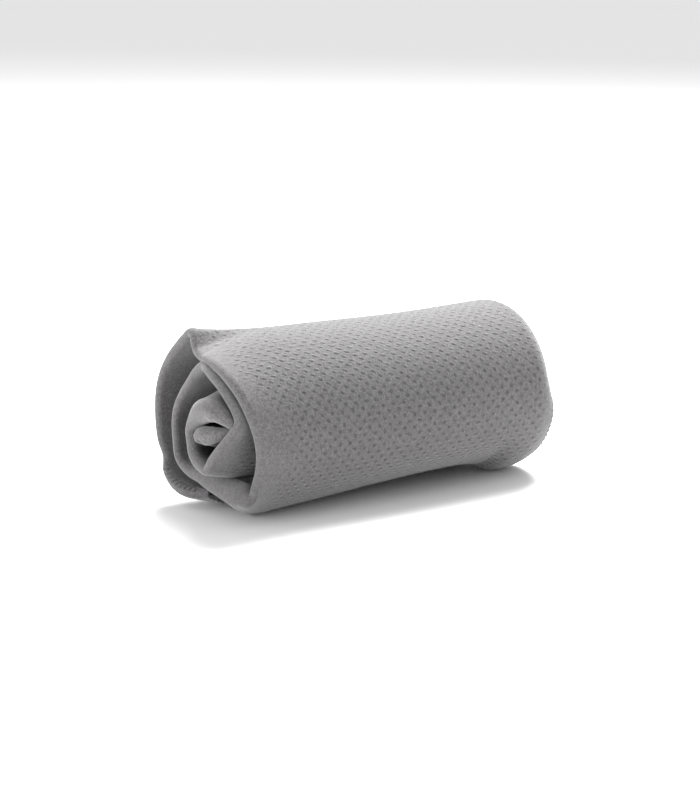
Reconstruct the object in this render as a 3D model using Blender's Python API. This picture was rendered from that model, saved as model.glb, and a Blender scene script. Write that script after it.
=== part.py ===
"""Quick-dry towel, folded once along its length and loosely rolled, lying on its side.

The cloth is one knitted rectangle. It is folded in half, so the roll is as long as half the
cloth's width: the fold is at the -X end and the two open, overlocked long edges are at the +X
end. The doubled sheet is then rolled up from one short edge. Cloth bends everywhere, and here
it bends at hinges: the sheet is cut into panels, and the pivots between the outer ones let the
roll unroll by half a turn, towards the back.

Frame: metres, +Z up, X along the roll, -Y is the front. The origin is the centre of the
bounding box's underside, on the surface that the towel lies on.

A winding angle, in degrees, names a place along the cloth. It is 0 under the roll, grows
towards the back, over the top and down the front, and goes on growing inwards. The free end of
the cloth, the tail, lies flat under the roll, and the front steps in to pass over it.
"""

import math

import bmesh
import bpy
from mathutils import Vector

# Cloth
FLAT_WIDTH = 0.300
FLAT_LENGTH = 0.500
PLY = 0.0010
PLY_GAP = 0.0016
SHEET = 2 * PLY + PLY_GAP
HEM_WIDTH = 0.0033
HEM_THICKNESS = 0.0014
CLEARANCE = 0.0003

# Roll
ROLL_LENGTH = FLAT_WIDTH / 2
ROLL_RADIUS = 0.0363
TELESCOPE = 0.004
TAIL_ANGLE = 7.0
TAIL_MIDDLE = 11.0
FLAT_ANGLE = 15.0
STEP_IN_START = 340.0
STEP_IN_END = 372.0
STEP_IN = 0.0055
TELESCOPE_START = 180.0
TELESCOPE_END = 720.0
CORE_RADIUS = 0.0050

# Panels: where the sheet is cut, in winding angles
BACK_CUTS = (26.0, 67.5, 112.5, 157.5)
BACK_MIDDLES = (TAIL_MIDDLE, 45.0, 90.0, 135.0, 180.0)
ROLL_CUTS = (378.0, 738.0, 1098.0)
STATION_ANGLE = 7.5
CORE_STATION_ANGLE = 12.0
FOLD_SEGMENTS = 4
STRAIGHT_PARTS = 3
SHARP_ANGLE = 40.0
SAMPLE_ANGLE = 0.25
TANGENT_ANGLE = 3.5

MIDDLE_RADIUS = ROLL_RADIUS - SHEET / 2
CORE_START_RADIUS = MIDDLE_RADIUS - STEP_IN
AXIS_HEIGHT = MIDDLE_RADIUS * math.cos(math.radians(FLAT_ANGLE)) + SHEET / 2


def smooth(value):
    """Ease from 0 to 1."""
    value = min(max(value, 0.0), 1.0)
    return value * value * (3 - 2 * value)


def outer_turn_radius(angle):
    """The first turn is round, and steps in where it passes under the free end."""
    along = (angle - STEP_IN_START) / (STEP_IN_END - STEP_IN_START)
    return MIDDLE_RADIUS - STEP_IN * smooth(along)


def outer_turn_length():
    """Length of the sheet's middle from the free end to where the even winding starts."""
    total = 0.0
    angle = TAIL_ANGLE
    while angle < STEP_IN_END:
        total += outer_turn_radius(angle) * math.radians(SAMPLE_ANGLE)
        angle += SAMPLE_ANGLE
    return total


INNER_LENGTH = FLAT_LENGTH - outer_turn_length()
PITCH = math.pi * (CORE_START_RADIUS**2 - CORE_RADIUS**2) / INNER_LENGTH
CORE_ANGLE = STEP_IN_END + 360 * (CORE_START_RADIUS - CORE_RADIUS) / PITCH


def radius_at(angle):
    """Radius of the middle of the doubled sheet: a round turn, then an even winding."""
    if angle <= STEP_IN_END:
        return outer_turn_radius(angle)
    return CORE_START_RADIUS - PITCH * (angle - STEP_IN_END) / 360


def middle_at(angle):
    """Middle of the sheet as (back, up). The tail and the stretch after it lie flat."""
    turn = math.radians(angle)
    radius = radius_at(angle)
    back = radius * math.sin(turn)
    up = AXIS_HEIGHT - radius * math.cos(turn)
    if angle < FLAT_ANGLE:
        up = SHEET / 2
    return back, up


def direction_at(angle):
    """Unit vector along the sheet, inwards, as (back, up)."""
    before = middle_at(angle - TANGENT_ANGLE)
    after = middle_at(angle + TANGENT_ANGLE)
    back = after[0] - before[0]
    up = after[1] - before[1]
    length = math.hypot(back, up)
    return back / length, up / length


def sheet_point(angle, depth):
    """(back, up) at a depth from the sheet's middle, positive towards the outside."""
    back, up = middle_at(angle)
    along_back, along_up = direction_at(angle)
    return back + along_up * depth, up - along_back * depth


def telescope_at(angle):
    """How far the inner turns stand out of the folded end."""
    along = (angle - TELESCOPE_START) / (TELESCOPE_END - TELESCOPE_START)
    return TELESCOPE * smooth(along)


def section_extent():
    """Lowest and highest back coordinate of the whole section."""
    values = []
    angle = TAIL_ANGLE
    while angle <= STEP_IN_END:
        values.append(sheet_point(angle, SHEET / 2)[0])
        angle += SAMPLE_ANGLE
    return min(values), max(values)


EXTENT = section_extent()
MIDDLE_BACK = (EXTENT[0] + EXTENT[1]) / 2
NEAR_X = -(ROLL_LENGTH + TELESCOPE) / 2 + TELESCOPE


def world(angle, depth, along):
    """World point of the sheet, 'along' being the distance from the folded end."""
    back, up = sheet_point(angle, depth)
    return Vector((NEAR_X - telescope_at(angle) + along, back - MIDDLE_BACK, up))


def clearance_angle(angle):
    """Half of the gap between two panels, as a winding angle."""
    return math.degrees(CLEARANCE / 2 / radius_at(angle))


def stations(first, last):
    """Winding angles of the cross-sections between two cuts."""
    step = CORE_STATION_ANGLE if first >= ROLL_CUTS[0] else STATION_ANGLE
    count = max(2, round((last - first) / step))
    return [first + (last - first) * i / count for i in range(count + 1)]


def folded_face(half_thickness, direction):
    """One face of the folded sheet as (depth, along), from an open edge round the fold."""
    cloth = ROLL_LENGTH - HEM_WIDTH - CLEARANCE
    fold = SHEET / 2
    straight = [fold + (cloth - fold) * i / STRAIGHT_PARTS for i in range(STRAIGHT_PARTS, 0, -1)]
    face = [(half_thickness, along) for along in straight]
    for i in range(FOLD_SEGMENTS + 1):
        turn = math.pi * i / FOLD_SEGMENTS
        face.append((half_thickness * math.cos(turn), fold - half_thickness * math.sin(turn)))
    face += [(-half_thickness, along) for along in reversed(straight)]
    return face[::direction]


def folded_profile():
    """Closed outline of the doubled sheet: its outside, then its inside the other way."""
    return folded_face(SHEET / 2, 1) + folded_face(PLY_GAP / 2, -1)


def hem_profile(side):
    """Outline of the overlocked long edge of one ply: side is 1 outside and -1 inside."""
    near = ROLL_LENGTH - HEM_WIDTH
    outer = side * SHEET / 2
    inner = side * (SHEET / 2 - HEM_THICKNESS)
    outline = [(outer, near), (inner, near), (inner, ROLL_LENGTH), (outer, ROLL_LENGTH)]
    return outline if side > 0 else outline[::-1]


def ply_profile(side):
    """Outline of the overlocked short edge of one ply, as long as the roll."""
    near = 0.0
    outer = side * SHEET / 2
    inner = side * (SHEET / 2 - HEM_THICKNESS)
    outline = [(outer, near), (inner, near), (inner, ROLL_LENGTH), (outer, ROLL_LENGTH)]
    return outline if side > 0 else outline[::-1]


def material(name, colour, roughness):
    shader = bpy.data.materials.new(name)
    shader.use_nodes = True
    principled = shader.node_tree.nodes["Principled BSDF"]
    principled.inputs["Base Color"].default_value = (*colour, 1.0)
    principled.inputs["Roughness"].default_value = roughness
    principled.inputs["Metallic"].default_value = 0.0
    return shader


def swept_piece(name, angles, outline, surface, parent):
    """Loft an outline through cross-sections at the given winding angles.

    The outline's second half mirrors its first, so each end is closed by a ladder of quads.
    """
    origin = parent.matrix_world.translation
    mesh = bpy.data.meshes.new(name)
    shape = bmesh.new()
    rings = []
    for angle in angles:
        ring = []
        for depth, along in outline:
            ring.append(shape.verts.new(world(angle, depth, along) - origin))
        rings.append(ring)
    count = len(outline)
    for ring, following in zip(rings, rings[1:]):
        for i in range(count):
            j = (i + 1) % count
            shape.faces.new((ring[i], ring[j], following[j], following[i]))
    for ring in (rings[0], rings[-1]):
        for i in range(count // 2 - 1):
            shape.faces.new((ring[i], ring[i + 1], ring[count - 2 - i], ring[count - 1 - i]))
    bmesh.ops.recalc_face_normals(shape, faces=shape.faces)
    shape.to_mesh(mesh)
    shape.free()
    mesh.shade_smooth()
    mesh.set_sharp_from_angle(angle=math.radians(SHARP_ANGLE))
    mesh.materials.append(surface)
    piece = bpy.data.objects.new(name, mesh)
    bpy.context.collection.objects.link(piece)
    piece.parent = parent
    return piece


def pivot_empty(name, place, parent):
    """An empty on a hinge's axis, in a chain of empties."""
    empty = bpy.data.objects.new(name, None)
    bpy.context.collection.objects.link(empty)
    empty.empty_display_size = 0.01
    if parent is not None:
        empty.parent = parent
        empty.location = place - parent.matrix_world.translation
    else:
        empty.location = place
    bpy.context.view_layer.update()
    return empty


def outer_face(angle):
    """Outer face of the sheet as a complex number, back + i up."""
    return complex(*sheet_point(angle, SHEET / 2))


def outer_length(first, last):
    """Length along the outer face between two winding angles, negative if it runs back."""
    count = max(1, round(abs(last - first) / SAMPLE_ANGLE))
    points = [outer_face(first + (last - first) * i / count) for i in range(count + 1)]
    length = sum(abs(b - a) for a, b in zip(points, points[1:]))
    return length if last > first else -length


def hinge_between(first, last):
    """Pivot and turn, in degrees, that lay the sheet flat from one winding angle to another.

    Turning the part at 'last' about the pivot brings its outer face into one plane with the
    outer face at 'first', at the true length of the cloth between them.
    """
    along_first = complex(*direction_at(first))
    along_last = complex(*direction_at(last))
    turned = along_first / along_last
    rest = (outer_face(last) - outer_face(first)) / along_first
    flat = complex(outer_length(first, last), 0.0)
    pivot = (flat - turned * rest) / (1 - turned)
    place = outer_face(first) + along_first * pivot
    angle = math.degrees(math.atan2(turned.imag, turned.real))
    return Vector((0.0, place.real - MIDDLE_BACK, place.imag)), -angle


def panel(name, first, last, parent, knit, thread):
    """One panel of doubled cloth and the overlocked edge of each of its plies."""
    angles = stations(first + clearance_angle(first), last - clearance_angle(last))
    swept_piece(f"{name}_panel", angles, folded_profile(), knit, parent)
    swept_piece(f"{name}_long_hem_outer", angles, hem_profile(1), thread, parent)
    swept_piece(f"{name}_long_hem_inner", angles, hem_profile(-1), thread, parent)


def short_hems(name, first, last, parent, thread):
    """The overlocked short edge of both plies, next to the panel's end."""
    angles = [first, (first + last) / 2, last]
    swept_piece(f"{name}_short_hem_outer", angles, ply_profile(1), thread, parent)
    swept_piece(f"{name}_short_hem_inner", angles, ply_profile(-1), thread, parent)


def build():
    for old in list(bpy.data.objects):
        bpy.data.objects.remove(old, do_unlink=True)
    knit = material("towel_knit", (0.17, 0.165, 0.168), 0.95)
    thread = material("overlock_thread", (0.15, 0.145, 0.148), 0.9)

    # The tail, flat under the roll.
    hem_angle = math.degrees((HEM_WIDTH + CLEARANCE) / MIDDLE_RADIUS)
    tail = pivot_empty("tail_frame", Vector((0.0, 0.0, 0.0)), None)
    hem_end = TAIL_ANGLE + hem_angle
    panel("tail", hem_end, BACK_CUTS[0], tail, knit, thread)
    short_hems("tail", TAIL_ANGLE, hem_end - clearance_angle(hem_end), tail, thread)

    # The back, which lies down on the table as the roll unrolls.
    parent = tail
    for i, cut in enumerate(BACK_CUTS):
        place, _ = hinge_between(BACK_MIDDLES[i], BACK_MIDDLES[i + 1])
        parent = pivot_empty(f"unroll_{i + 1}", place, parent)
        if i + 1 < len(BACK_CUTS):
            panel(f"back_{i + 1}", cut, BACK_CUTS[i + 1], parent, knit, thread)

    # What stays rolled up.
    core_end = CORE_ANGLE - math.degrees((HEM_WIDTH + CLEARANCE) / CORE_RADIUS)
    edges = [BACK_CUTS[-1], *ROLL_CUTS, core_end]
    names = ["front", "second_turn", "third_turn", "core"]
    for name, first, last in zip(names, edges, edges[1:]):
        panel(name, first, last, parent, knit, thread)
    short_hems("core", core_end + clearance_angle(core_end), CORE_ANGLE, parent, thread)


if __name__ == "__main__":
    build()
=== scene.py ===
"""The looks of the rolled quick-dry towel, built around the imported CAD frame.

The cloth is one doubled sheet. A winding angle in degrees names a place along it: 0 under the
roll, growing towards the back, over the top, down the front and on inwards. 'along' is the
distance in metres from the folded edge, at the -X end, towards the hemmed edges. Arrays of
the sheet's points have one row for each winding angle and one column for each 'along'. Lengths
are in metres, and constants for angles in degrees unless math.radians stands round them.
"""

import math

import bpy
import numpy as np
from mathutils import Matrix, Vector


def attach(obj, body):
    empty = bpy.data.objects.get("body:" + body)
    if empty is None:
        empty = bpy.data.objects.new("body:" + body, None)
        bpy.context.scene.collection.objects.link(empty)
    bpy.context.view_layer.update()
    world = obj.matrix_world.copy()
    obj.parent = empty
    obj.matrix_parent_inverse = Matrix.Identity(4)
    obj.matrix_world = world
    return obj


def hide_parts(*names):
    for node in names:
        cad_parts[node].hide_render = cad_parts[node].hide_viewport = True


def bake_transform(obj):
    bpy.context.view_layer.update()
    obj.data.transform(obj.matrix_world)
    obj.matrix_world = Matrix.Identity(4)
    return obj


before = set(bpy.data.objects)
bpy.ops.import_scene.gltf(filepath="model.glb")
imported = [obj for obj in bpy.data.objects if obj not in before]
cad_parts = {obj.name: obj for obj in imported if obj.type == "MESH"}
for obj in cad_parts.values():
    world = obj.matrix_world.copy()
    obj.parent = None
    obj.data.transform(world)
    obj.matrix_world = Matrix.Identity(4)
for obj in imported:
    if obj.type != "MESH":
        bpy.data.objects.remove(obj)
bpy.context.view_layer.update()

MM = 0.001

# The sheet, as in the CAD model
ROLL_LENGTH = 150 * MM
MIDDLE_RADIUS = 34.5 * MM
AXIS_HEIGHT = 35.124 * MM
SHEET_HALF = 1.8 * MM
FLAT_ANGLE = 15.0
STEP_IN_START = 340.0
STEP_IN_END = 372.0
STEP_IN = 5.5 * MM
PITCH = 9.099 * MM
NEAR_X = -73 * MM
TELESCOPE = 4 * MM
TELESCOPE_START = 180
TELESCOPE_TURN = 540
TAIL_ANGLE = 7.0
CORE_ANGLE = 1321.0
BACK_ANGLES = (11.0, 45.0, 90.0, 135.0, 180.0)

# One layer of cloth, a little thicker than in the CAD model; where the fold's rounding starts;
# and how far into the roll the fold keeps a thickness of its own
PLY = 1.1 * MM
FOLD_START = 2.4 * MM
FOLD_THICKNESS_REACH = 8 * MM

# Here the model's cloth is divided into the piece in front and the piece inside
SECOND_TURN_ANGLE = 392.0

# The folded edge, from the free end inwards. Each line: winding angle; then in millimetres how
# far it stands out, back, up, how deep the roll takes to become even, and half its thickness.
# The places follow the folds of a real roll. They were picked by eye and turned into millimetres
# by a scratch calculation, which guided the numbers typed here, and then moved by hand.
FOLDED_EDGE = (
    (7, -3.0, 2.0, 9.0, 24, 1.6),
    (20, 0.4, 11.8, 7.8, 24, 2.8),
    (35, 1.4, 21.6, 9.2, 24, 3.1),
    (46, 1.3, 27.4, 12.6, 26, 2.7),
    (60, 0.0, 30.8, 18.2, 28, 1.9),
    (75, 0.0, 34.8, 24.5, 30, 2.0),
    (90, 0.0, 36.2, 34.0, 34, 2.1),
    (105, 0.0, 35.6, 43.5, 38, 2.1),
    (120, 0.0, 32.4, 52.0, 42, 2.1),
    (135, 0.0, 26.2, 60.0, 46, 2.1),
    (148, 0.0, 19.5, 66.0, 48, 2.1),
    (158, 0.0, 14.0, 70.4, 48, 2.1),
    (165, 0.0, 10.4, 72.8, 48, 2.1),
    (169, 0.2, 8.0, 72.3, 46, 2.1),
    (173, 0.8, 6.0, 69.4, 42, 2.2),
    (176.5, 1.4, 3.0, 65.8, 38, 2.3),
    (180, 2.0, -1.8, 64.2, 36, 2.4),
    (189, 2.8, -7.0, 63.8, 36, 2.4),
    (198, 3.4, -13.0, 63.0, 36, 2.4),
    (210, 3.8, -20.0, 61.2, 36, 2.4),
    (222, 3.7, -26.0, 58.4, 36, 2.4),
    (234, 2.6, -30.2, 54.4, 36, 2.4),
    (246, 1.2, -33.4, 48.8, 36, 2.4),
    (258, -0.6, -35.2, 42.3, 36, 2.3),
    (270, -2.0, -35.8, 36.0, 36, 2.2),
    (282, -2.8, -35.4, 30.0, 32, 2.1),
    (295, -3.2, -33.8, 24.4, 28, 2.0),
    (308, -2.8, -32.4, 19.0, 24, 2.0),
    (320, -2.2, -31.6, 14.2, 22, 2.2),
    (329, -2.0, -29.8, 14.0, 20, 4.6),
    (338, -2.0, -26.0, 15.4, 20, 6.4),
    (350, -2.0, -20.0, 16.0, 20, 6.7),
    (362, -1.8, -12.0, 15.6, 22, 5.8),
    (374, -1.4, -4.0, 15.6, 24, 4.8),
    (386, -0.8, 4.0, 15.8, 28, 3.6),
    (402, 0.5, 12.0, 16.4, 36, 2.6),
    (418, 2.0, 17.2, 20.5, 44, 1.8),
    (432, 2.0, 18.6, 27.0, 50, 1.8),
    (448, 2.0, 19.1, 34.5, 50, 1.8),
    (464, 2.0, 17.5, 40.5, 50, 1.8),
    (480, 2.0, 13.0, 47.0, 50, 1.8),
    (496, 2.0, 7.0, 53.0, 50, 2.0),
    (512, 2.5, 0.8, 58.6, 50, 2.2),
    (526, 3.2, -5.0, 62.0, 50, 2.2),
    (538, 4.5, -9.5, 61.8, 50, 2.2),
    (550, 5.0, -14.5, 60.0, 50, 2.4),
    (566, 5.0, -20.6, 57.0, 50, 2.5),
    (584, 4.8, -26.8, 52.6, 50, 2.5),
    (602, 4.5, -31.2, 47.8, 44, 2.2),
    (616, 4.6, -32.2, 44.2, 38, 1.9),
    (632, 6.4, -29.6, 40.0, 34, 1.8),
    (650, 8.6, -25.4, 34.8, 34, 1.8),
    (668, 10.0, -21.0, 29.2, 34, 1.9),
    (686, 10.0, -17.5, 24.3, 36, 2.3),
    (704, 9.8, -13.0, 25.4, 40, 2.8),
    (738, 9.6, -8.4, 28.8, 44, 2.8),
    (772, 9.4, -6.8, 33.0, 50, 2.6),
    (806, 9.4, -6.8, 37.4, 50, 3.0),
    (840, 9.4, -10.6, 41.8, 50, 4.4),
    (872, 9.6, -16.0, 45.4, 44, 6.0),
    (906, 9.6, -20.8, 47.4, 40, 6.2),
    (942, 8.8, -25.4, 47.2, 36, 4.4),
    (974, 7.6, -29.0, 46.0, 36, 3.0),
    (1004, 5.6, -31.0, 44.2, 40, 1.7),
    (1036, 4.4, -30.8, 42.6, 44, 1.2),
    (1068, 4.6, -28.8, 41.6, 50, 1.3),
    (1096, 6.6, -26.0, 40.4, 50, 2.3),
    (1130, 8.4, -22.0, 38.6, 50, 3.8),
    (1168, 9.4, -15.6, 36.4, 50, 4.6),
    (1206, 8.6, -12.8, 34.4, 50, 3.2),
    (1238, 3.0, -14.5, 31.6, 50, 1.6),
    (1276, -4.0, -16.5, 31.0, 50, 1.3),
    (1321, -8.0, -18.5, 31.5, 50, 1.2),
)
EDGE = np.array(FOLDED_EDGE, float)

# The folds stand out of the near end, and further in the turns telescope evenly
TELESCOPE_REACH = 80 * MM

# The far end closes in: fully over the top, less down the front, least under and up the back
FAR_CURL_LENGTH = 11 * MM
FAR_CURL_RADIUS = FAR_CURL_LENGTH * 2 / math.pi
FAR_CURL_LEAST = 0.3
FAR_CURL_FULL_START = 120
FAR_CURL_FULL_TURN = 60
FAR_CURL_FRONT_LOSS = 0.35
FAR_CURL_FRONT = (250, 340)
FAR_CURL_FRONT_TURN = 40

# The sheet is drawn out along the roll, at the far end by this share of its length
FAR_STRETCH = 0.037

# The low front rises off the table along the roll, and comes down before the far end
LOW_FRONT_LIFT = 4.8 * MM
LIFT_START = 5 * MM
LIFT_LENGTH = 110 * MM
LIFT_END = 124 * MM
LIFT_END_LENGTH = 10 * MM
LOW_FRONT_START = 285
LOW_FRONT_TURN = 50
LOW_FRONT_END = 372
LOW_FRONT_END_TURN = 30

# The free end isn't square to the roll
FREE_END_SKEW = 7.0 * MM
FREE_END_SKEW_TURN = 53

# Slack waves along the roll
SLUMP = 0.5 * MM
SLUMP_WAVES_ROUND = 2
SLUMP_WAVE_PER_RADIAN = 19 * MM
SLUMP_START = 30
SLUMP_START_TURN = 60
SLUMP_END = 330
SLUMP_END_TURN = 50

# Knit: staggered pits, shallower on the inner face, fading to smooth felt at the edges
ROW_PITCH = 2.15 * MM
STITCH_PITCH = 2.4 * MM
PIT_DEPTH = 0.16 * MM
INSIDE_PIT_STRENGTH = 0.3
PIT_SHARPNESS = 2.4
PIT_LENGTH = 1.3 * MM
PIT_WIDTH = 0.8 * MM
PIT_TURN = math.radians(20)
PIT_WOBBLE = 0.6 * MM
# Share by which the knit's colour is darkened in the pits: painted shade
PIT_PAINTED_SHADE = 0.38
FADE_START = 3 * MM
FADE_END_ABOVE = 12 * MM
FADE_END_IN_FRONT = 24 * MM
FADE_FRONT_START = 215
FADE_FRONT_TURN = 40
HEM_FADE_START = 139 * MM
HEM_FADE_END = 146 * MM
PIT_RANGE = (0.75, 1.0)
KNIT_COLOUR = (0.113, 0.110, 0.112)
MOTTLE_RANGE = (0.86, 1.14)
FIBRE_RANGE = (0.78, 1.22)
FUZZ_WEIGHT = 0.9
BUMP_STRENGTH = 0.8
BUMP_HEIGHT = 0.5 * MM

# Noise: how fine it is, in features per metre, and how detailed
WOBBLE_NOISE = (420, 1)
PIT_NOISE = (260, 1)
MOTTLE_NOISE = (800, 3)
FIBRE_NOISE = (1700, 3)
FUZZ_NOISE = (1900, 4)
THREAD_NOISE = (3000, 2)
NOISE_MIDDLE = 0.5
NOISE_LOW = 0.3
NOISE_HIGH = 0.7

# How far the knit's rows are pulled apart, and how much further where the cloth hangs in front
ROWS_LOOSE = 0.95
ROWS_PULLED = 0.22
ROWS_PULLED_FROM = 225
ROWS_PULLED_FROM_TURN = 35
ROWS_PULLED_TO = 320
ROWS_PULLED_TO_TURN = 30

# Overlock thread
LOOP_PITCH = 2.4 * MM
THREAD_RADIUS = 0.24 * MM
THREAD_HEIGHT = 0.75 * MM
LONG_EDGE_INSET = 1.4 * MM
LONG_EDGE_THREAD_WIDTH = 1.9 * MM
SHORT_EDGE_INSET = 3 * MM
SHORT_EDGE_THREAD_WIDTH = 1.6 * MM
CORNER_ANGLES = (14, 52)
CORNER_LEAN = math.radians(125)
CORNER_THREAD_WIDTH = 1.2 * MM
CORNER_THREAD_HEIGHT = 0.45 * MM
THREAD_DARK = (0.05, 0.049, 0.05, 1)
THREAD_LIGHT = (0.11, 0.108, 0.11, 1)

# Light and camera
MIDDLE_OF_ROLL = (0, 0, 0.035)
CAMERA_AZIMUTH = -35.2
CAMERA_ELEVATION = 12.9
CAMERA_DISTANCE = 0.987
CAMERA_TARGET = (-0.0008, 0.0006, 0.0376)

# How finely the meshes are divided
SAMPLE_ANGLE = 0.5
SAMPLE_MARGIN = 4
FOLD_POINTS = 9
HIDDEN_POINTS = 8
COARSE = 1.5 * MM
INNER_FINE = 0.7 * MM
INNER_COARSE = 3.0 * MM
INNER_FINE_UNTIL = 34 * MM
LOOP_POINTS = 10
THREAD_SIDES = 5
SHORT_EDGE_POINTS = 120
CORNER_POINTS = 40
LONG_EDGE_STEP = 2
OPPOSITE_MARGIN = 1e-6
SHARP_ANGLE = math.radians(50)
TANGENT_ANGLE = 0.4
TANGENT_LENGTH = 0.2 * MM


def smooth(value):
    """Ease from 0 to 1."""
    value = np.clip(value, 0.0, 1.0)
    return value * value * (3 - 2 * value)


def rise(values, start, length):
    """Ease from 0 at start to 1 after the given length."""
    return smooth((values - start) / length)


def spline(knots, values, at):
    """Smooth curve through the values, with a slope at each knot from its neighbours."""
    slopes = np.gradient(values, knots, axis=0)
    i = np.clip(np.searchsorted(knots, at, side="right") - 1, 0, len(knots) - 2)
    width = (knots[i + 1] - knots[i])[:, None]
    t = ((at - knots[i]) / width[:, 0])[:, None]
    start = (1 + 2 * t) * (1 - t) ** 2 * values[i] + t * (1 - t) ** 2 * width * slopes[i]
    end = t * t * (3 - 2 * t) * values[i + 1] + t * t * (t - 1) * width * slopes[i + 1]
    return start + end


def deep_section(angles):
    """Middle of the sheet well inside the roll as (back, up): a round turn, then a spiral."""
    stepped = MIDDLE_RADIUS - STEP_IN * rise(angles, STEP_IN_START, STEP_IN_END - STEP_IN_START)
    spiral = MIDDLE_RADIUS - STEP_IN - PITCH * (angles - STEP_IN_END) / 360
    radius = np.where(angles <= STEP_IN_END, stepped, spiral)
    turn = np.radians(angles)
    up = AXIS_HEIGHT - radius * np.cos(turn)
    return radius * np.sin(turn), np.where(angles < FLAT_ANGLE, SHEET_HALF, up)


def running_total(steps):
    return np.concatenate(([0.0], np.cumsum(steps)))


# The even section at closely spaced angles: its length so far, and the knit's rows so far
SAMPLES = np.arange(TAIL_ANGLE - SAMPLE_MARGIN, CORE_ANGLE + SAMPLE_MARGIN, SAMPLE_ANGLE)
SAMPLE_BACK, SAMPLE_UP = deep_section(SAMPLES)
SAMPLE_LENGTH = running_total(np.hypot(np.diff(SAMPLE_BACK), np.diff(SAMPLE_UP)))
PULLED = rise(SAMPLES, ROWS_PULLED_FROM, ROWS_PULLED_FROM_TURN)
LET_GO = rise(SAMPLES, ROWS_PULLED_TO, ROWS_PULLED_TO_TURN)
KNIT_STRETCH = ROWS_LOOSE + ROWS_PULLED * PULLED * (1 - LET_GO)
SAMPLE_ROWS = running_total(np.diff(SAMPLE_LENGTH) / KNIT_STRETCH[1:])


def rows_at(angles):
    """Length of cloth as the knit's rows count it."""
    return np.interp(angles, SAMPLES, SAMPLE_ROWS)


def length_at(angles):
    """Length of cloth from the free end."""
    return np.interp(angles, SAMPLES, SAMPLE_LENGTH)


def folded_edge(angles, columns):
    """Some columns of FOLDED_EDGE, in metres, at any winding angles."""
    return spline(EDGE[:, 0], EDGE[:, columns] * MM, np.clip(angles, EDGE[0, 0], EDGE[-1, 0]))


def far_curl(angle, along):
    """How far the sheet has turned inwards at the far end, in radians."""
    curl = (along - ROLL_LENGTH + FAR_CURL_LENGTH) / FAR_CURL_RADIUS
    curl = np.clip(curl, 0, math.pi / 2)
    full = rise(angle, FAR_CURL_FULL_START, FAR_CURL_FULL_TURN)
    curl = curl * (FAR_CURL_LEAST + (1 - FAR_CURL_LEAST) * full)
    front = rise(angle, FAR_CURL_FRONT[0], FAR_CURL_FRONT_TURN)
    past_front = rise(angle, FAR_CURL_FRONT[1], FAR_CURL_FRONT_TURN)
    return curl * (1 - FAR_CURL_FRONT_LOSS * front * (1 - past_front))


def low_front_lift(angle, along):
    """How far the low front rises off the table."""
    lift = rise(along, LIFT_START, LIFT_LENGTH) * (1 - rise(along, LIFT_END, LIFT_END_LENGTH))
    low_front = rise(angle, LOW_FRONT_START, LOW_FRONT_TURN)
    low_front = low_front * (1 - rise(angle, LOW_FRONT_END, LOW_FRONT_END_TURN))
    return LOW_FRONT_LIFT * lift * low_front


def slump_at(angle, along, away):
    """Slack waves along the roll, in the outer turn."""
    wave = SLUMP * np.sin(along / SLUMP_WAVE_PER_RADIAN + np.radians(angle) * SLUMP_WAVES_ROUND)
    wave = wave * away * rise(angle, SLUMP_START, SLUMP_START_TURN)
    return wave * smooth((SLUMP_END - angle) / SLUMP_END_TURN)


def middle(angles, along):
    """Middle surface of the doubled sheet, as points [angle, along, xyz].

    It runs from the folded edge into the even section well inside the roll.
    """
    edge = folded_edge(angles, slice(1, 5))
    stands_out, back, up, reach = (edge[:, k][:, None] for k in range(4))
    deep_back, deep_up = (d[:, None] for d in deep_section(angles))
    angle = angles[:, None]
    along = along[None, :]
    away = 1 - (1 - np.clip(along / reach, 0, 1)) ** 2
    slump = slump_at(angle, along, away)
    curl = far_curl(angle, along)
    shrink = 1 - FAR_CURL_RADIUS * (1 - np.cos(curl)) / AXIS_HEIGHT
    deep_back = deep_back * shrink
    deep_up = AXIS_HEIGHT + (deep_up - AXIS_HEIGHT) * shrink + low_front_lift(angle, along)
    near_free_end = 1 - rise(angle, TAIL_ANGLE, FREE_END_SKEW_TURN)
    deep_back = deep_back + FREE_END_SKEW * along / ROLL_LENGTH * near_free_end
    forward = along - FAR_CURL_RADIUS * (curl - np.sin(curl))
    telescoped = TELESCOPE * rise(angle, TELESCOPE_START, TELESCOPE_TURN)
    telescoped = stands_out + (telescoped - stands_out) * smooth(along / TELESCOPE_REACH)
    x = NEAR_X - telescoped + forward * (1 + FAR_STRETCH * forward / ROLL_LENGTH)
    y = back + (deep_back - back) * away + slump * np.sin(np.radians(angle))
    z = up + (deep_up - up) * away - slump * np.cos(np.radians(angle))
    return np.stack((x, y, z), axis=2)


def unit(vectors):
    return vectors / np.linalg.norm(vectors, axis=-1, keepdims=True)


def frames(angles, along):
    """Points of the middle surface, outward normals, and directions along and round the roll."""
    points = middle(angles, along)
    round_roll = middle(angles + TANGENT_ANGLE, along) - middle(angles - TANGENT_ANGLE, along)
    along_roll = middle(angles, along + TANGENT_LENGTH) - middle(angles, along - TANGENT_LENGTH)
    along_roll = unit(along_roll)
    return points, unit(np.cross(round_roll, along_roll)), along_roll, unit(round_roll)


def half_thickness(angles, along):
    """Half the doubled sheet's thickness: its own at the fold, and even further in."""
    at_fold = folded_edge(angles, slice(5, 6))
    return SHEET_HALF + (at_fold - SHEET_HALF) * np.exp(-along[None, :] / FOLD_THICKNESS_REACH)


def graded(start, end, fine, coarse, fine_until):
    """Distances from start to end, with fine steps until fine_until and coarse ones after it."""
    near = np.linspace(start, fine_until, math.ceil((fine_until - start) / fine) + 1)
    far = np.linspace(fine_until, end, math.ceil((end - fine_until) / coarse) + 1)
    return np.concatenate((near, far[1:]))


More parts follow.
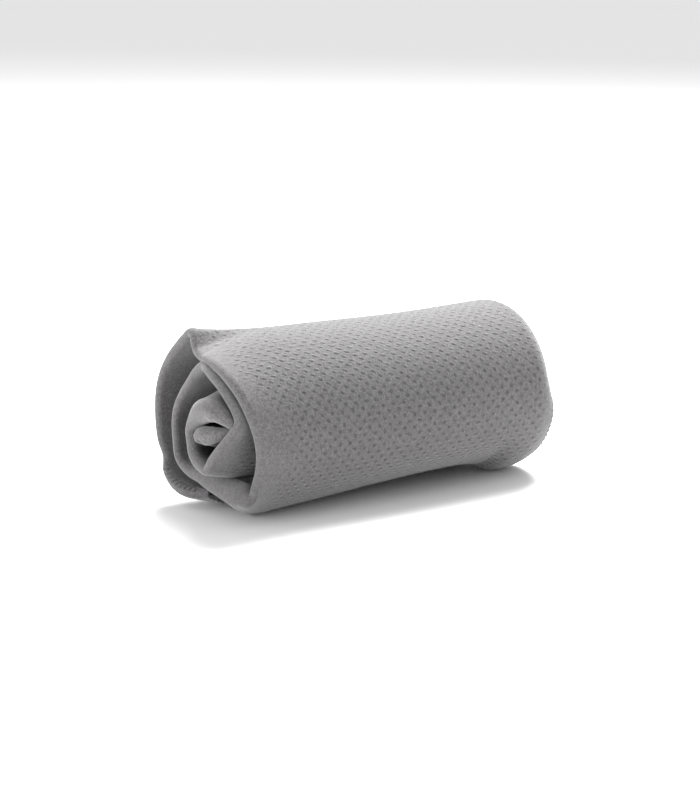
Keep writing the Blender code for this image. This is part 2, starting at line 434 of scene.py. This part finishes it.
def profile(fine, fine_until):
    """The doubled sheet's closed outline, as rows of (side, inset, along, round the fold).

    The side is 1 outside and -1 inside, the inset 0 on the cloth's own face and 1 on the hidden
    one. The second value returned is how many rows are on the cloth's own face.
    """
    turn = np.linspace(0, math.pi, FOLD_POINTS)[1:-1]
    outer = graded(FOLD_START, ROLL_LENGTH, fine, COARSE, fine_until)
    inner = graded(FOLD_START, ROLL_LENGTH, max(fine, INNER_FINE), INNER_COARSE, INNER_FINE_UNTIL)
    hidden = np.linspace(FOLD_START, ROLL_LENGTH, HIDDEN_POINTS)
    rows = [(1.0, 0.0, v, 0.0) for v in outer[::-1]]
    rows += [(math.cos(t), 0.0, FOLD_START, math.sin(t)) for t in turn]
    rows += [(-1.0, 0.0, v, 0.0) for v in inner]
    rows += [(-1.0, 1.0, v, 0.0) for v in hidden[::-1]]
    rows += [(math.cos(t), 1.0, FOLD_START, math.sin(t)) for t in turn[::-1]]
    rows += [(1.0, 1.0, v, 0.0) for v in hidden]
    return np.array(rows), len(outer) + len(turn) + len(inner)


def fade(angles, along):
    """The pits fade out towards the folded edge and at the hems, where the cloth is smooth felt."""
    in_front = rise(angles[:, None], FADE_FRONT_START, FADE_FRONT_TURN)
    fade_end = FADE_END_ABOVE + (FADE_END_IN_FRONT - FADE_END_ABOVE) * in_front
    shown = rise(along[None, :], FADE_START, fade_end - FADE_START)
    return shown * (1 - rise(along[None, :], HEM_FADE_START, HEM_FADE_END - HEM_FADE_START))


def pits(angles, along):
    """How deep the knit's staggered pits are, from 0 to 1."""
    rows = np.cos(math.pi * rows_at(angles)[:, None] / ROW_PITCH)
    stitches = np.cos(math.pi * along[None, :] / STITCH_PITCH)
    return np.clip(rows * stitches, 0, 1) ** PIT_SHARPNESS * fade(angles, along)


def mesh_object(name, points, faces, material, cloth_place=None):
    """A piece with smooth shading.

    cloth_place gives each point its place on the flat cloth, and how strong the pits are there.
    """
    mesh = bpy.data.meshes.new(name)
    mesh.from_pydata(points.reshape(-1, 3).tolist(), [], faces)
    mesh.update()
    if cloth_place is not None:
        mesh.attributes.new("cloth_place", "FLOAT_VECTOR", "POINT").data.foreach_set(
            "vector", cloth_place.ravel().astype(np.float32)
        )
    mesh.shade_smooth()
    mesh.set_sharp_from_angle(angle=SHARP_ANGLE)
    mesh.materials.append(material)
    piece = bpy.data.objects.new(name, mesh)
    bpy.context.scene.collection.objects.link(piece)
    return piece


def ring_faces(rings, count):
    """Quads between neighbouring closed rings of points."""
    faces = []
    for r in range(rings - 1):
        low = r * count
        high = low + count
        for i in range(count):
            j = (i + 1) % count
            faces.append((low + i, low + j, high + j, high + i))
    return faces


def end_caps(rows, own, rings):
    """Triangles that close the outline at its first and last ring.

    Each hidden point is joined to the points of the cloth's own face that lie opposite it. 'own'
    is how many rows of the outline are on that face.
    """
    side, _, along, _ = rows.T
    count = len(rows)
    hidden = count - own
    round_outline = -side * (1 + (along - FOLD_START) / (ROLL_LENGTH - FOLD_START))
    opposite = np.searchsorted(round_outline[:own], round_outline[own:][::-1] - OPPOSITE_MARGIN)
    opposite[-1] = own - 1
    cap = []
    for i in range(hidden - 1):
        near = count - 1 - i
        cap += [(k, k + 1, near) for k in range(opposite[i], opposite[i + 1])]
        cap.append((opposite[i + 1], near - 1, near))
    first = [tuple(int(k) for k in corners[::-1]) for corners in cap]
    low = (rings - 1) * count
    last = [tuple(low + int(k) for k in corners) for corners in cap]
    return first + last


def cloth(name, first, last, material, step, fine, fine_until):
    """One stretch of the doubled sheet, closed at both ends.

    It is divided every step round the roll. Along the roll it is fine until fine_until.
    """
    count = math.ceil((length_at(last) - length_at(first)) / step)
    lengths = np.linspace(length_at(first), length_at(last), count + 1)
    angles = np.interp(lengths, SAMPLE_LENGTH, SAMPLES)
    rows, own = profile(fine, fine_until)
    side, inset, along, fold = rows.T
    points, normal, along_roll, _ = frames(angles, along)
    half = half_thickness(angles, along) - inset[None, :] * PLY
    own_face = (inset == 0)[None, :] & (fold == 0)[None, :]
    strength = np.where(side[None, :] > 0, 1.0, INSIDE_PIT_STRENGTH) * own_face
    depth = half * side[None, :]
    depth = depth - np.sign(side)[None, :] * PIT_DEPTH * pits(angles, along) * strength
    shape = points + normal * depth[:, :, None] - along_roll * (half * fold[None, :])[:, :, None]
    faces = ring_faces(len(angles), len(rows)) + end_caps(rows, own, len(angles))
    faces = [face[::-1] for face in faces]
    place = np.empty(shape.shape)
    place[:, :, 0] = rows_at(angles)[:, None]
    place[:, :, 1] = along[None, :]
    place[:, :, 2] = fade(angles, along) * strength
    return mesh_object(name, shape, faces, material, place)


def thread(name, points, across, outward, path, width, height, material):
    """Overlock thread: one strand wound round an edge that follows the given points."""
    length = running_total(np.linalg.norm(np.diff(points, axis=0), axis=1))
    loops = round(length[-1] / LOOP_PITCH)
    count = loops * LOOP_POINTS + 1
    at = np.linspace(0, length[-1], count)

    def read(values):
        return np.stack([np.interp(at, length, values[:, k]) for k in range(3)], axis=1)

    phase = np.linspace(0, loops * 2 * math.pi, count)[:, None]
    strand = read(points) + read(across) * width * np.sin(phase)
    strand = strand + read(outward) * height * np.cos(phase)
    tangent = unit(np.gradient(strand, axis=0))
    first = unit(np.cross(tangent, read(path)))
    second = np.cross(tangent, first)
    turn = np.linspace(0, 2 * math.pi, THREAD_SIDES, endpoint=False)[None, :, None]
    ring = first[:, None, :] * np.cos(turn) + second[:, None, :] * np.sin(turn)
    tube = strand[:, None, :] + ring * THREAD_RADIUS
    faces = ring_faces(count, THREAD_SIDES)
    faces.append(tuple(range(THREAD_SIDES))[::-1])
    last = (count - 1) * THREAD_SIDES
    faces.append(tuple(last + i for i in range(THREAD_SIDES)))
    return mesh_object(name, tube, faces, material)


def ply_frames(angles, along, side):
    """Frames in the middle of one ply: side is 1 for the outer one and -1 for the inner one."""
    points, normal, along_roll, path = frames(angles, along)
    depth = side * (half_thickness(angles, along) - PLY / 2)[:, :, None]
    return points + normal * depth, normal, along_roll, path


def long_edge_thread(name, first, last, side, material):
    """Thread round the open long edge of one ply, at the hemmed end."""
    angles = np.linspace(first, last, int((last - first) / LONG_EDGE_STEP))
    along = np.array([ROLL_LENGTH - LONG_EDGE_INSET])
    line, normal, along_roll, path = (v[:, 0] for v in ply_frames(angles, along, side))
    width = LONG_EDGE_THREAD_WIDTH
    return thread(name, line, along_roll, normal, path, width, THREAD_HEIGHT, material)


def short_edge_thread(name, angle, side, material):
    """Thread round the short edge of one ply, along the roll."""
    along = np.linspace(SHORT_EDGE_INSET, ROLL_LENGTH - SHORT_EDGE_INSET, SHORT_EDGE_POINTS)
    line, normal, along_roll, path = (v[0] for v in ply_frames(np.array([angle]), along, side))
    width = SHORT_EDGE_THREAD_WIDTH
    return thread(name, line, path, normal, along_roll, width, THREAD_HEIGHT, material)


def corner_thread(name, material):
    """The stitches at the free end's near corner, at the tip of the fold and its inner face."""
    angles = np.linspace(*CORNER_ANGLES, CORNER_POINTS)
    along = np.array([FOLD_START])
    points, normal, along_roll, path = frames(angles, along)
    outward = normal * math.cos(CORNER_LEAN) - along_roll * math.sin(CORNER_LEAN)
    across = normal * math.sin(CORNER_LEAN) + along_roll * math.cos(CORNER_LEAN)
    line = points + outward * half_thickness(angles, along)[:, :, None]
    line, across, outward, path = (v[:, 0] for v in (line, across, outward, path))
    width = CORNER_THREAD_WIDTH
    return thread(name, line, across, outward, path, width, CORNER_THREAD_HEIGHT, material)


class Nodes:
    """Short ways to add shader nodes to a material."""

    def __init__(self, material):
        material.use_nodes = True
        self.tree = material.node_tree
        self.shader = self.tree.nodes["Principled BSDF"]
        self.place = self.tree.nodes.new("ShaderNodeTexCoord").outputs["Object"]

    def feed(self, value, socket):
        if isinstance(value, (int, float)):
            socket.default_value = value
        else:
            self.tree.links.new(value, socket)

    def math(self, operation, *values):
        node = self.tree.nodes.new("ShaderNodeMath")
        node.operation = operation
        for value, socket in zip(values, node.inputs):
            self.feed(value, socket)
        return node.outputs["Value"]

    def wrapped(self, value, shift, pitch):
        """A value that starts again every two pitches, from -pitch to pitch."""
        return self.math("WRAP", self.math("ADD", value, shift), pitch, -pitch)

    def weighted_sum(self, first, first_weight, second, second_weight):
        first = self.math("MULTIPLY", first, first_weight)
        return self.math("ADD", first, self.math("MULTIPLY", second, second_weight))

    def noise(self, scale, detail):
        node = self.tree.nodes.new("ShaderNodeTexNoise")
        node.inputs["Scale"].default_value = scale
        node.inputs["Detail"].default_value = detail
        self.feed(self.place, node.inputs["Vector"])
        return node.outputs["Fac"]

    def remap(self, value, low, high, to_low, to_high):
        node = self.tree.nodes.new("ShaderNodeMapRange")
        node.interpolation_type = "SMOOTHSTEP"
        for item, socket in zip((value, low, high, to_low, to_high), node.inputs):
            self.feed(item, socket)
        return node.outputs["Result"]

    def varied(self, noise, factors):
        """Noise as a factor between two values."""
        return self.remap(self.noise(*noise), NOISE_LOW, NOISE_HIGH, *factors)

    def tint(self, value, colour):
        """A colour scaled by a value."""
        node = self.tree.nodes.new("ShaderNodeCombineColor")
        for channel, socket in zip(colour, node.inputs):
            self.feed(self.math("MULTIPLY", value, channel), socket)
        return node.outputs["Color"]

    def attribute(self, name):
        node = self.tree.nodes.new("ShaderNodeAttribute")
        node.attribute_name = name
        split = self.tree.nodes.new("ShaderNodeSeparateXYZ")
        self.feed(node.outputs["Vector"], split.inputs[0])
        return split.outputs

    def bump(self, height, strength, distance):
        node = self.tree.nodes.new("ShaderNodeBump")
        node.inputs["Strength"].default_value = strength
        node.inputs["Distance"].default_value = distance
        self.feed(height, node.inputs["Height"])
        self.feed(node.outputs["Normal"], self.shader.inputs["Normal"])


def pit_pattern(nodes):
    """Soft slanted pits in staggered rows, from the place on the flat cloth."""
    length, along, strength = nodes.attribute("cloth_place")
    unevenness = nodes.math("SUBTRACT", nodes.noise(*WOBBLE_NOISE), NOISE_MIDDLE)
    wobble = nodes.math("MULTIPLY", unevenness, PIT_WOBBLE)
    length = nodes.math("ADD", length, wobble)
    along = nodes.math("SUBTRACT", along, wobble)
    cosine = math.cos(PIT_TURN)
    sine = math.sin(PIT_TURN)
    lattices = []
    for shift in (0.0, 1.0):
        row = nodes.wrapped(length, shift * ROW_PITCH, ROW_PITCH)
        stitch = nodes.wrapped(along, shift * STITCH_PITCH, STITCH_PITCH)
        down = nodes.weighted_sum(stitch, cosine, row, sine)
        across = nodes.weighted_sum(row, cosine, stitch, -sine)
        down = nodes.math("POWER", nodes.math("DIVIDE", down, PIT_LENGTH), 2.0)
        across = nodes.math("POWER", nodes.math("DIVIDE", across, PIT_WIDTH), 2.0)
        lattices.append(nodes.remap(nodes.math("ADD", across, down), 0.0, 1.0, 1.0, 0.0))
    pit = nodes.math("MULTIPLY", nodes.math("MAXIMUM", *lattices), strength)
    return nodes.math("MULTIPLY", pit, nodes.varied(PIT_NOISE, PIT_RANGE))


def knit_material():
    """Grey felted knit: mottled and fibrous, with shade painted into its pits."""
    material = bpy.data.materials.new("towel_knit")
    nodes = Nodes(material)
    nodes.shader.inputs["Roughness"].default_value = 0.95
    nodes.shader.inputs["Specular IOR Level"].default_value = 0.1
    nodes.shader.inputs["Sheen Weight"].default_value = 0.4
    nodes.shader.inputs["Sheen Roughness"].default_value = 0.45
    pit = pit_pattern(nodes)
    mottle = nodes.varied(MOTTLE_NOISE, MOTTLE_RANGE)
    fibres = nodes.varied(FIBRE_NOISE, FIBRE_RANGE)
    felt = nodes.math("MULTIPLY", mottle, fibres)
    # Painted shade: the colour is darkened where the pits are
    painted_pit_shade = nodes.math("MULTIPLY", pit, PIT_PAINTED_SHADE)
    shade = nodes.math("MULTIPLY", felt, nodes.math("SUBTRACT", 1.0, painted_pit_shade))
    nodes.feed(nodes.tint(shade, KNIT_COLOUR), nodes.shader.inputs["Base Color"])
    fuzz = nodes.math("MULTIPLY", nodes.noise(*FUZZ_NOISE), FUZZ_WEIGHT)
    nodes.bump(nodes.math("SUBTRACT", fuzz, pit), BUMP_STRENGTH, BUMP_HEIGHT)
    return material


def thread_material():
    """Overlock thread, a little darker than the knit and uneven in tone."""
    material = bpy.data.materials.new("overlock_thread")
    nodes = Nodes(material)
    nodes.shader.inputs["Roughness"].default_value = 0.8
    nodes.shader.inputs["Sheen Weight"].default_value = 0.15
    ramp = nodes.tree.nodes.new("ShaderNodeValToRGB")
    ramp.color_ramp.elements[0].color = THREAD_DARK
    ramp.color_ramp.elements[1].color = THREAD_LIGHT
    nodes.feed(nodes.noise(*THREAD_NOISE), ramp.inputs["Fac"])
    nodes.feed(ramp.outputs["Color"], nodes.shader.inputs["Base Color"])
    return material


def hems_of(names):
    """The CAD strips of thread on the long edges of some stretches."""
    return [f"{name}_long_hem_{side}" for name in names for side in ("outer", "inner")]


def long_edges(name, first, last, stitch):
    """The thread on the two open long edges of a stretch of cloth."""
    return [
        long_edge_thread(f"{name}_thread_outer", first, last, 1, stitch),
        long_edge_thread(f"{name}_thread_inner", first, last, -1, stitch),
    ]


def declare(panels):
    """Hide the CAD panels, and their long hems, that the stretch stands for."""
    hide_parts(*[f"{panel}_panel" for panel in panels])
    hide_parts(*hems_of(panels))


def build_back(knit, stitch):
    """Four stretches up the back."""
    bodies = ["tail", "back_1", "back_2", "back_3", "roll"]
    starts = (TAIL_ANGLE,) + BACK_ANGLES[1:-1]
    for i, (first, last) in enumerate(zip(starts, BACK_ANGLES[1:])):
        name = f"back_cloth_{i + 1}"
        piece = cloth(name, first, last, knit, step=0.5 * MM, fine=0.5 * MM, fine_until=ROLL_LENGTH)
        threads = long_edges(name, first, last, stitch)
        if i == 0:
            free_end = short_edge_thread("free_end_thread_outer", TAIL_ANGLE, 1, stitch)
            threads.append(free_end)
            threads.append(short_edge_thread("free_end_thread_inner", TAIL_ANGLE, -1, stitch))
            threads.append(corner_thread("corner_thread", stitch))
            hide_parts("tail_short_hem_outer", "tail_short_hem_inner")
        for part in [piece] + threads:
            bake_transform(part)
        declare([bodies[i]])


def wound_stretch(name, panels, first, last, knit, stitch, **division):
    """A stretch that stays rolled up. It returns the thread on its edges."""
    piece = cloth(name, first, last, knit, **division)
    threads = long_edges(name, first, last, stitch)
    for part in [piece] + threads:
        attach(part, "roll")
    declare(panels)
    return threads


def build_roll(knit, stitch):
    """The front and the turns inside it."""
    front = {"step": 0.55 * MM, "fine": 0.5 * MM, "fine_until": ROLL_LENGTH}
    wound_stretch("front_cloth", ["front"], BACK_ANGLES[-1], SECOND_TURN_ANGLE, knit, stitch, **front)
    panels = ["second_turn", "third_turn", "core"]
    inner = {"step": 1.0 * MM, "fine": 0.7 * MM, "fine_until": 30 * MM}
    threads = wound_stretch("inner_cloth", panels, SECOND_TURN_ANGLE, CORE_ANGLE, knit, stitch, **inner)
    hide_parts("core_short_hem_outer", "core_short_hem_inner")


def build_stage():
    """A pale floor."""
    bpy.ops.mesh.primitive_plane_add(size=40)
    floor = bpy.context.object
    floor.name = "floor"
    material = bpy.data.materials.new("pale_floor")
    material.use_nodes = True
    principled = material.node_tree.nodes["Principled BSDF"]
    principled.inputs["Base Color"].default_value = (0.85, 0.85, 0.85, 1)
    principled.inputs["Roughness"].default_value = 0.9
    floor.data.materials.append(material)


def area_light(name, place, size, power):
    """A square light aimed at the middle of the roll."""
    light = bpy.data.lights.new(name, "AREA")
    light.size = size
    light.energy = power
    lamp = bpy.data.objects.new(name, light)
    bpy.context.scene.collection.objects.link(lamp)
    lamp.location = place
    aim = Vector(MIDDLE_OF_ROLL) - Vector(place)
    lamp.rotation_euler = aim.to_track_quat("-Z", "Y").to_euler()


def build_light():
    """White surroundings, a large light above and behind, and a weak one at the folded end.

    The Standard view transform keeps the cloth's grey as it is.
    """
    world = bpy.data.worlds.new("studio")
    bpy.context.scene.world = world
    world.use_nodes = True
    background = world.node_tree.nodes["Background"]
    background.inputs["Color"].default_value = (1, 1, 1, 1)
    background.inputs["Strength"].default_value = 0.9
    area_light("top_light", place=(0.5, 0.42, 1.0), size=0.7, power=55)
    area_light("end_light", place=(-1.1, 0.05, 0.25), size=0.8, power=8.5)
    bpy.context.scene.view_settings.view_transform = "Standard"


def build_camera():
    azimuth = math.radians(CAMERA_AZIMUTH)
    elevation = math.radians(CAMERA_ELEVATION)
    target = Vector(CAMERA_TARGET)
    back = Vector((
        math.sin(azimuth) * math.cos(elevation),
        -math.cos(azimuth) * math.cos(elevation),
        math.sin(elevation),
    ))
    camera = bpy.data.objects.new("camera", bpy.data.cameras.new("camera"))
    camera.data.lens = 108
    camera.data.sensor_width = 36
    camera.location = target + back * CAMERA_DISTANCE
    camera.rotation_euler = (-back).to_track_quat("-Z", "Y").to_euler()
    bpy.context.scene.collection.objects.link(camera)
    bpy.context.scene.camera = camera


knit = knit_material()
stitch = thread_material()
build_back(knit, stitch)
build_roll(knit, stitch)
build_stage()
build_light()
build_camera()
